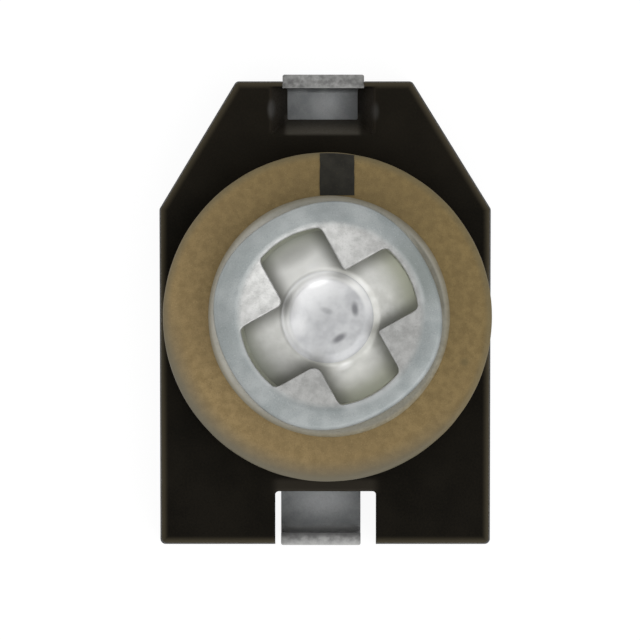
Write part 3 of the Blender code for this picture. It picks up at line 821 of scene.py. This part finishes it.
class Paint(Graph):
    """A material in the making. It measures in millimetres, and fields are the values it knows."""

    def __init__(self, name, metallic, specular, roughness):
        self.material = bpy.data.materials.new(name)
        self.material.use_nodes = True
        super().__init__(self.material.node_tree)
        self.inputs = self.tree.nodes["Principled BSDF"].inputs
        self.inputs["Metallic"].default_value = metallic
        self.inputs["Specular IOR Level"].default_value = specular
        self.inputs["Roughness"].default_value = roughness
        self.place = self.add("TexCoord", {}).outputs["Object"]
        self.fields = {}

    def know_coordinates(self):
        for name, part in zip("xyz", self.coordinates(self.place)):
            self.fields[name] = self.product(part, 1 / MM)

    def speckle(self, size, detail=2.0, rough=0.5):
        """A noise field from 0 to 1 with the given size."""
        inputs = {"Vector": self.place, "Scale": 1 / (size * MM), "Detail": detail, "Roughness": rough}
        return self.add("TexNoise", inputs).outputs["Fac"]

    def seen_from(self, middle, angle=0.0):
        """A point's place in plan, measured from a middle along axes turned by an angle."""
        shifted = self.vector_step("SUBTRACT", self.place, (middle[0] * MM, middle[1] * MM, 0.0))
        inputs = {"Vector": shifted, "Angle": math.radians(-angle)}
        turned = self.add("VectorRotate", inputs, rotation_type="Z_AXIS").outputs["Vector"]
        return self.vector_step("MULTIPLY", turned, (1 / MM, 1 / MM, 0.0))

    def distance(self, middle=(0.0, 0.0)):
        """How far a point is from an upright line."""
        return self.vector_step("LENGTH", self.seen_from(middle))

    def along(self, way, *ends):
        """A range over the distance from the axis in one direction."""
        turn = math.radians(way)
        towards = (math.cos(turn) / MM, math.sin(turn) / MM, 0.0)
        return self.spread(self.vector_step("DOT_PRODUCT", self.place, towards), *ends)

    def arm_sides(self):
        """How far a point lies, in plan, from the middle lines of the cross slot's two arms."""
        return self.vector_step("ABSOLUTE", self.seen_from(SLOT_MIDDLE, SLOT_ANGLE))

    def arm_depths(self):
        """How far a point lies inside the sides of the cross slot's two arms."""
        return self.vector_step("SUBTRACT", (SLOT_HALF, SLOT_HALF, 0.0), self.arm_sides())

    def edge_gap(self, corners):
        """How far a point lies inside the nearest side of an outline."""
        nearest = 1.0
        for start, end in zip(corners, corners[1:] + corners[:1]):
            inward = inward_of(start, end)
            depth = self.vector_step("DOT_PRODUCT", self.place, (inward.x / MM, inward.y / MM, 0.0))
            depth = self.calculate("SUBTRACT", depth, inward.dot(Vector(start)))
            nearest = self.calculate("MINIMUM", depth, nearest)
        return nearest

    def oval(self, mark):
        """How strong a soft oval mark is, from its middle outwards."""
        scale = (2 / mark.length, 2 / mark.width, 0.0)
        scaled = self.vector_step("MULTIPLY", self.seen_from(mark.middle, mark.angle), scale)
        return self.spread(self.vector_step("LENGTH", scaled), MARK_CORE, 1.0, 1.0, 0.0)

    def ranged(self, name, ends):
        if name == "side":
            return self.along(*ends)
        return (self.between if len(ends) == 3 else self.spread)(self.fields[name], *ends)

    def layered(self, colour, *layers):
        """A colour with layers and marks on it, in their order."""
        for layer in layers:
            if isinstance(layer, Mark):
                shares = [self.oval(layer)]
            else:
                shares = [self.ranged(name, ends) for name, ends in layer.ranges.items()]
            colour = self.mixed(self.product(*shares, layer.strength), colour, linear(layer.shade))
        return colour

    def blend(self, share, first, second):
        return self.mixed(share, linear(first), linear(second))

    def mottled(self, field, first, second):
        """A colour between two shades, which follows a noise field."""
        return self.blend(self.spread(field, NOISE_LOW, NOISE_HIGH, 0.0, 1.0), first, second)

    def rough(self, field, at_low, at_high):
        """Makes the roughness follow a noise field."""
        self.feed(self.inputs["Roughness"], self.spread(field, NOISE_LOW, NOISE_HIGH, at_low, at_high))

    def finish(self, colour, height, depth):
        """The material, with its colour and with bumps of a given depth from a height field."""
        self.feed(self.inputs["Base Color"], colour)
        bump = self.add("Bump", {"Strength": 1.0, "Distance": depth * MM, "Height": height})
        self.feed(self.inputs["Normal"], bump.outputs["Normal"])
        return self.material


def resin_material():
    """Matt black resin, paler along its top edges from wear and a painted sheen, with painted sheen on the
    window's walls and painted highlights beside the window.
    """
    paint = Paint("black_resin", metallic=0.0, specular=0.05, roughness=0.6)
    fine = paint.speckle(*GRAIN)
    broad = paint.speckle(0.35)
    both = paint.calculate("ADD", paint.product(fine, 0.6), paint.product(broad, 0.4))
    paint.know_coordinates()
    paint.fields["depth"] = paint.edge_gap(base_corners())
    window_west, window_east = WINDOW_MIDDLE_X - WINDOW_TOP_HALF, WINDOW_MIDDLE_X + WINDOW_TOP_HALF
    # The patch of painted sheen on the window's back wall
    sheen_west, sheen_east = WINDOW_MIDDLE_X - 0.36, WINDOW_MIDDLE_X + 0.36
    sheen_back = (WINDOW_TOP_BACK + 0.01, WINDOW_FLOOR_BACK + 0.05, 0.025)
    colour = paint.layered(
        paint.mottled(both, (11, 9, 5), (24, 21, 15)),
        # Paler towards the north, and painted sheen on the window's sides and back wall and beside the
        # notch
        Layer((40, 35, 26), y=(0.9, 1.5, 0.0, 0.2)),
        Layer(
            (50, 45, 38), strength=0.6,
            x=(window_west, window_east, 0.02), y=(WINDOW_TOP_BACK + 0.02, WINDOW_FRONT, 0.02),
        ),
        Layer((78, 74, 66), x=(sheen_west, sheen_east, 0.03), y=sheen_back),
        Layer(
            (50, 46, 39), strength=0.8,
            x=(NOTCH_LEFT, NOTCH_RIGHT, 0.06), y=(-NOTCH_BACK - 0.02, -CERAMIC_RADIUS + 0.02, 0.03),
        ),
        # Painted highlights beside the window, and the top edges paler from wear and a painted sheen
        Mark((74, 73, 71), (-0.54, 2.01), 90.0, 0.26, 0.11, 0.7),
        Mark((74, 73, 71), (0.46, 1.99), 90.0, 0.24, 0.11, 0.4),
        Layer((72, 66, 52), depth=(0.02, 0.09, 0.8, 0.0), z=(0.70, 0.79, 0.0, 1.0)),
    )
    paint.rough(fine, 0.5, 0.68)
    return paint.finish(colour, fine, 0.0015)


def tin_material():
    """Dull tin plating with softly mottled sheared ends, paler towards the outside by a painted highlight,
    and painted gleams and shade on the tongues and bends.
    """
    paint = Paint("tin_plating", metallic=0.5, specular=0.5, roughness=0.5)
    broad = paint.speckle(0.12)
    blots = paint.speckle(0.07, rough=0.6)
    paint.know_coordinates()
    paint.fields["grain"] = paint.speckle(0.014, rough=0.6)
    tongue = paint.layered(
        paint.mottled(broad, (138, 141, 142), (162, 164, 165)),
        # Painted gleams in the middle of both tongues
        Mark((200, 201, 202), (-0.02, 2.04), 0.0, 0.42, 0.42, 0.45),
        Mark((200, 201, 202), (-0.06, -1.80), 0.0, 0.80, 0.42, 0.45),
        # The painted gleam of the south bend, and painted shade on the east half of the north tongue
        Layer((216, 216, 216), strength=0.6, y=(-2.11, -2.03, 0.03)),
        Layer((84, 84, 84), y=(1.6, 1.7, 0.0, 0.4), x=(0.05, 0.3, 0.0, 1.0)),
    )
    end = paint.blend(paint.spread(blots, 0.25, 0.75, 0.0, 1.0), (110, 110, 109), (160, 160, 158))
    end = paint.layered(
        end,
        # Painted shade on the inside and a painted highlight on the outside at the south end, and a painted
        # highlight on the inside at the north end
        Layer((72, 72, 72), y=(-2.145, -2.10, 0.0, 0.8), side=(90.0, -1.0, 0.0, 1.0, 0.0)),
        Layer((190, 190, 189), y=(-2.215, -2.13, 0.7, 0.0)),
        Layer((190, 190, 188), y=(2.20, 2.235, 1.0, 0.0), side=(90.0, 0.0, 1.0, 0.0, 0.8)),
    )
    colour = paint.mixed(paint.spread(paint.fields["z"], 0.50, 0.54, 0.0, 1.0), tongue, end)
    colour = paint.layered(colour, Layer((70, 70, 70), grain=(0.35, 0.65, 0.12, 0.0)))
    paint.rough(broad, 0.48, 0.60)
    return paint.finish(colour, paint.speckle(0.03, 3.0, 0.6), 0.0015)


def ceramic_material():
    """Fired tan ceramic with fine pores, and painted light that makes it a little paler towards one side.
    """
    paint = Paint("tan_ceramic", metallic=0.0, specular=0.25, roughness=0.6)
    grain = paint.speckle(0.012, 3.0, 0.7)
    patch = paint.speckle(0.08, 3.0, 0.6)
    paint.fields.update(grain=grain, cloud=paint.speckle(0.9, 1.0), radius=paint.distance())
    colour = paint.layered(
        paint.mottled(patch, (124, 104, 63), (142, 121, 78)),
        Layer((120, 101, 64), cloud=(NOISE_LOW, NOISE_HIGH, 0.0, 0.4)),
        # Pores, light grains and one stain
        Layer((88, 72, 42), grain=(0.30, 0.46, 0.40, 0.0)),
        Layer((165, 146, 104), grain=(0.56, 0.72, 0.0, 0.40)),
        Mark((84, 76, 48), (1.325, -0.436), 0.0, 0.13, 0.11, 0.5),
        # The rim, greyer towards the south: a painted sheen of the rounded rim
        Layer((104, 97, 74), radius=(1.50, 1.585, 0.0, 0.6)),
        Layer((94, 92, 78), radius=(1.36, 1.58, 0.0, 0.7), side=(250.0, 0.2, 1.2, 0.0, 1.0)),
    )
    # Painted light: paler towards the south-west, and darker on the other side
    painted_falloff = paint.add("CombineColor", {})
    for socket, dark, pale in zip(painted_falloff.inputs, (0.82, 0.82, 0.78), (1.14, 1.14, 1.26)):
        paint.feed(socket, paint.along(225.0, -1.9, 1.9, dark, pale))
    colour = paint.mixed(1.0, colour, painted_falloff.outputs["Color"], "MULTIPLY")
    paint.rough(patch, 0.5, 0.65)
    return paint.finish(colour, grain, 0.0015)


def ink_material():
    """Dark print with a few worn flecks."""
    paint = Paint("dark_print", metallic=0.0, specular=0.2, roughness=0.6)
    paint.fields["grain"] = paint.speckle(*GRAIN)
    colour = paint.layered(
        paint.mottled(paint.speckle(0.12), (26, 24, 18), (38, 36, 29)),
        Layer((66, 58, 42), grain=(0.55, 0.75, 0.0, 0.35)),
    )
    return paint.finish(colour, paint.fields["grain"], 0.001)


def film_material():
    """Fired silver, tarnished along its outer edge, with painted light and shade: pale where it shows
    through the slot, darker towards the arms' ends, and paler on the north-west of its edge where the cap's
    shadow falls.
    """
    paint = Paint("fired_silver", metallic=0.8, specular=0.5, roughness=0.5)
    grain = paint.speckle(*GRAIN)
    radius = paint.distance()
    paint.fields.update(patch=paint.speckle(0.1), out=paint.distance(FILM_MIDDLE))
    # Along the outer edge, painted light: paler on the north-west, where the cap's shadow falls, and darker
    # on the south-east
    edge = paint.layered(
        paint.blend(paint.along(315.0, -0.9, 1.2, 0.0, 1.0), (200, 197, 187), (130, 127, 116)),
        # Tarnish, a painted shade in the north and a painted shadow line in the east beside the cap's edge
        Layer((108, 98, 74), out=(1.105, 1.172, 0.0, 0.85)),
        Layer((96, 92, 76), side=(80.0, 0.7, 1.05, 0.0, 0.45)),
        Layer((92, 88, 74), out=(1.105, 1.125, 1.0, 0.0), side=(22.0, 1.02, 1.08, 0.0, 0.6)),
    )
    # Out in the slot's arms, painted light makes the film paler towards the south-east, and painted shade
    # darkens it towards the arms' ends
    outer = paint.blend(paint.along(-45.0, -0.3, 0.8, 0.0, 1.0), (166, 168, 152), (222, 222, 204))
    inside = paint.mixed(paint.spread(radius, 0.68, 0.87, 0.0, 1.0), linear((216, 217, 203)), outer)
    colour = paint.mixed(paint.spread(radius, 0.95, 1.0, 0.0, 1.0), inside, edge)
    colour = paint.layered(colour, Layer((150, 148, 134), patch=(0.35, 0.7, 0.0, 0.2)))
    paint.rough(grain, 0.45, 0.6)
    return paint.finish(colour, grain, 0.0015)


def cap_material():
    """Matt bluish plating on the ring, brighter on the pressed lobes, with a painted shade in the ring's
    east and a painted highlight along the bend at the arm ends.
    """
    paint = Paint("nickel_plating", metallic=1.0, specular=0.5, roughness=0.5)
    grain = paint.speckle(0.014, 3.0, 0.65)
    patch = paint.speckle(0.10, 3.0, 0.6)
    radius = paint.distance(CAP_COLOUR_MIDDLE)
    beside_x, beside_y, _ = paint.coordinates(paint.arm_sides())
    beside_arm = paint.calculate("MINIMUM", beside_x, beside_y)
    paint.fields.update(grain=grain, radius=radius, beside_arm=beside_arm)
    ring = paint.layered(
        paint.mottled(paint.speckle(0.30), (145, 151, 151), (169, 173, 173)),
        Layer((190, 194, 193), side=(150.0, 0.1, 1.1, 0.0, 0.2)),
        # A long painted shade in the east, and three short dull stretches
        Mark((137, 143, 141), (0.89, 0.42), 115.0, 1.1, 0.6, 1.0),
        Mark((132, 138, 138), (0.02, 1.0), 0.0, 0.55, 0.36, 0.45),
        Mark((132, 138, 138), (0.95, -0.25), 75.0, 0.55, 0.36, 0.6),
        Mark((132, 138, 138), (-0.99, -0.02), 90.0, 0.55, 0.36, 0.4),
    )
    lobe = paint.mottled(patch, (166, 166, 164), (190, 190, 188))
    colour = paint.layered(
        paint.mixed(paint.spread(radius, 0.84, 0.93, 1.0, 0.0), ring, lobe),
        Layer((104, 108, 108), grain=(0.32, 0.45, 0.22, 0.0)),
        Layer((206, 210, 210), grain=(0.58, 0.72, 0.0, 0.25)),
        # A painted highlight along the ring's inner bend beside the slot's arms
        Layer(
            (214, 217, 218), radius=(BEND_HIGHLIGHT_RADIUS - 0.025, BEND_HIGHLIGHT_RADIUS + 0.02, 0.02),
            beside_arm=(0.26, 0.36, 0.35, 0.0), side=(ARM_WAY, -0.6, 0.6, 1.0, 0.0),
        ),
    )
    paint.feed(paint.inputs["Roughness"], paint.spread(radius, 0.84, 0.92, 0.42, 0.56))
    return paint.finish(colour, paint.calculate("ADD", grain, patch), 0.0022)


def pin_material():
    """Bright tin with painted highlights on the north-west of the head and its slope, painted shade beside
    the lobes' tips, and three short dark marks of painted shade.
    """
    paint = Paint("bright_tin", metallic=0.6, specular=0.5, roughness=0.45)
    patch = paint.speckle(0.12)
    tip_gap = paint.vector_step("LENGTH", paint.arm_depths())
    paint.fields.update(radius=paint.distance(), tip_gap=tip_gap)
    colour = paint.layered(
        paint.mottled(patch, (180, 181, 183), (200, 201, 202)),
        # Painted highlights: paler towards the north-west, with a broad bright mark in the west
        Layer((236, 236, 236), side=(ARM_WAY, 0.0, 0.36, 0.0, 0.6)),
        Mark((232, 232, 232), (-0.29, -0.10), 60.0, 0.36, 0.24, 0.5),
        # Painted highlights on the slope's far side and a painted gleam, and painted shade beside the
        # lobes' tips
        Layer(
            (255, 255, 252), side=(ARM_WAY, -0.25, 0.2, 0.0, 0.9),
            radius=(PIN_CREST + 0.02, PIN_SLOPE_END - 0.01, 0.02),
        ),
        Mark((255, 255, 255), (-0.10, 0.35), 20.0, 0.36, 0.16, 1.0),
        Layer((96, 96, 90), tip_gap=(0.0, 0.20, 0.60, 0.0)),
        # Three short dark marks of painted shade at the bowl's edge
        Mark((104, 104, 108), (0.265, 0.075), 98.0, 0.20, 0.10, 0.8),
        Mark((104, 104, 108), (0.114, -0.205), 34.0, 0.23, 0.10, 0.8),
        Mark((104, 104, 108), (-0.012, 0.062), 160.0, 0.16, 0.09, 0.35),
    )
    paint.rough(patch, 0.40, 0.50)
    return paint.finish(colour, paint.speckle(*GRAIN), 0.0012)


def spring_material():
    """Pale matt spring sheet, with painted shade beside the lobes, towards its outer edge and round the
    pin's foot, and painted light on its sides, round the pin and in the arms.
    """
    paint = Paint("spring_sheet", metallic=0.35, specular=0.5, roughness=0.45)
    patch = paint.speckle(0.09, 3.0)
    radius = paint.distance()
    lobe_gap = paint.vector_step("LENGTH", paint.vector_step("MAXIMUM", paint.arm_depths()))
    paint.fields.update(radius=radius, lobe_gap=lobe_gap)
    inner = paint.layered(
        paint.mottled(patch, (218, 218, 212), (234, 234, 229)),
        # Painted light: paler towards the north-west, darker towards the south
        Layer((255, 255, 251), side=(ARM_WAY, -0.2, 0.5, 0.0, 0.9)),
        Layer((198, 198, 193), side=(270.0, 0.1, 0.5, 0.0, 0.7)),
    )
    # Painted light towards the outer edge: paler towards the east, darker towards the west
    outer = paint.blend(paint.along(-15.0, -0.3, 0.7, 0.0, 1.0), (146, 149, 134), (220, 222, 200))
    colour = paint.layered(
        # Painted shade towards the outer edge under the cap's ring, and beside the lobes
        paint.mixed(paint.spread(radius, 0.58, 0.88, 0.0, 1.0), inner, outer),
        Layer((128, 128, 118), lobe_gap=(0.0, 0.17, 0.65, 0.0)),
        # A faint painted shade round the pin's foot
        Layer(
            (150, 150, 148), radius=(PIN_SLOPE_END - 0.01, PIN_SLOPE_END + 0.02, 0.012),
            side=(165.0, -0.1, 0.3, 0.0, 0.35),
        ),
        # Painted gleams round the pin
        Mark((255, 255, 253), (0.346, 0.30), 130.0, 0.22, 0.10, 0.6),
        Mark((255, 255, 253), (-0.14, 0.486), 20.0, 0.22, 0.10, 0.6),
        Mark((255, 255, 253), (0.171, -0.47), 25.0, 0.22, 0.10, 0.6),
        # One painted shade and two painted highlights out in the arms
        Mark((120, 120, 112), (-0.315, 0.59), 29.0, 0.60, 0.26, 0.35),
        Mark((255, 255, 248), (0.580, 0.32), 119.0, 0.60, 0.26, 0.30),
        Mark((255, 255, 248), (0.305, -0.55), 29.0, 0.60, 0.26, 0.35),
    )
    paint.rough(patch, 0.52, 0.42)
    return paint.finish(colour, paint.speckle(*GRAIN), 0.0012)


# The object

def place_piece(piece, material, body, node):
    piece.data.materials.clear()
    piece.data.materials.append(material)
    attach(piece, body)
    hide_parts(node)


def build_object():
    tin = tin_material()
    place_piece(base_piece(), resin_material(), "base", "base")
    place_piece(refined("north_terminal", "stator_terminal"), tin, "base", "stator_terminal")
    place_piece(refined("south_terminal", "rotor_terminal"), tin, "base", "rotor_terminal")
    place_piece(pin_piece(), pin_material(), "base", "centre_pin")
    place_piece(ceramic_piece(), ceramic_material(), "rotor", "ceramic_rotor")
    place_piece(film_piece(), film_material(), "rotor", "rotor_electrode")
    place_piece(mark_piece(), ink_material(), "rotor", "index_mark")
    place_piece(cap_piece(), cap_material(), "rotor", "driver_plate")
    place_piece(washer_piece(), spring_material(), "rotor", "spring_washer")


# Floor, world, lamp and camera

def build_floor():
    """A pale floor that looks nearly white, but throws less light on the object than it shows."""
    mesh = bpy.data.meshes.new("floor")
    outline = rectangle(-FLOOR_HALF, FLOOR_HALF, -FLOOR_HALF, FLOOR_HALF)
    mesh.from_pydata([(x * MM, y * MM, FLOOR_HEIGHT * MM) for x, y in outline], [], [(0, 1, 2, 3)])
    floor = bpy.data.objects.new("floor", mesh)
    bpy.context.scene.collection.objects.link(floor)
    paint = Paint("pale_floor", metallic=0.0, specular=0.0, roughness=0.9)
    paint.inputs["Base Color"].default_value = FLOOR_COLOUR
    rays = paint.add("LightPath", {}).outputs
    seen = paint.calculate("MAXIMUM", rays["Is Camera Ray"], rays["Is Glossy Ray"])
    seen = paint.calculate("MAXIMUM", seen, rays["Is Transmission Ray"])
    glow = paint.add("Emission", {"Strength": FLOOR_GLOW}).outputs["Emission"]
    matt = paint.tree.nodes["Principled BSDF"].outputs["BSDF"]
    mix = paint.add("MixShader", {"Fac": paint.product(seen, FLOOR_GLOW_SHARE), 1: matt, 2: glow})
    paint.feed(paint.tree.nodes["Material Output"].inputs["Surface"], mix.outputs["Shader"])
    mesh.materials.append(paint.material)


def build_world():
    """White where the camera looks; reflections see it too, but greyer straight above."""
    world = bpy.data.worlds.new("studio")
    bpy.context.scene.world = world
    world.use_nodes = True
    graph = Graph(world.node_tree)
    background = graph.tree.nodes["Background"]
    background.inputs["Color"].default_value = (1.0, 1.0, 1.0, 1.0)
    rays = graph.add("LightPath", {}).outputs
    way = graph.add("TexCoord", {}).outputs["Generated"]
    mirrored = graph.spread(graph.coordinates(way)["Z"], *ZENITH)
    seen = graph.calculate("MAXIMUM", rays["Is Glossy Ray"], rays["Is Transmission Ray"])
    lit = graph.product(graph.calculate("SUBTRACT", 1.0, seen), WORLD_LEVEL)
    shown = graph.calculate("ADD", graph.product(seen, mirrored), lit)
    strength = graph.calculate("MAXIMUM", shown, rays["Is Camera Ray"])
    graph.feed(background.inputs["Strength"], strength)


def build_key():
    """The one lamp: a soft sun."""
    lamp = bpy.data.lights.new("key", "SUN")
    lamp.energy = KEY_STRENGTH
    lamp.angle = math.radians(KEY_SPREAD)
    sun = bpy.data.objects.new("key", lamp)
    bpy.context.scene.collection.objects.link(sun)
    sun.rotation_euler = Euler((0, math.radians(90 - KEY_ELEVATION), math.radians(KEY_AZIMUTH)))


def build_camera():
    data = bpy.data.cameras.new("camera")
    data.sensor_width = SENSOR
    data.lens = SENSOR * CAMERA_HEIGHT / VIEW_WIDTH
    data.clip_start = CAMERA_NEAR * MM
    data.clip_end = CAMERA_FAR * MM
    camera = bpy.data.objects.new("camera", data)
    bpy.context.scene.collection.objects.link(camera)
    camera.location = (VIEW_CENTRE[0] * MM, VIEW_CENTRE[1] * MM, CAMERA_HEIGHT * MM)
    bpy.context.scene.camera = camera


build_object()
build_floor()
build_world()
build_key()
build_camera()
bpy.context.scene.view_settings.view_transform = "Standard"
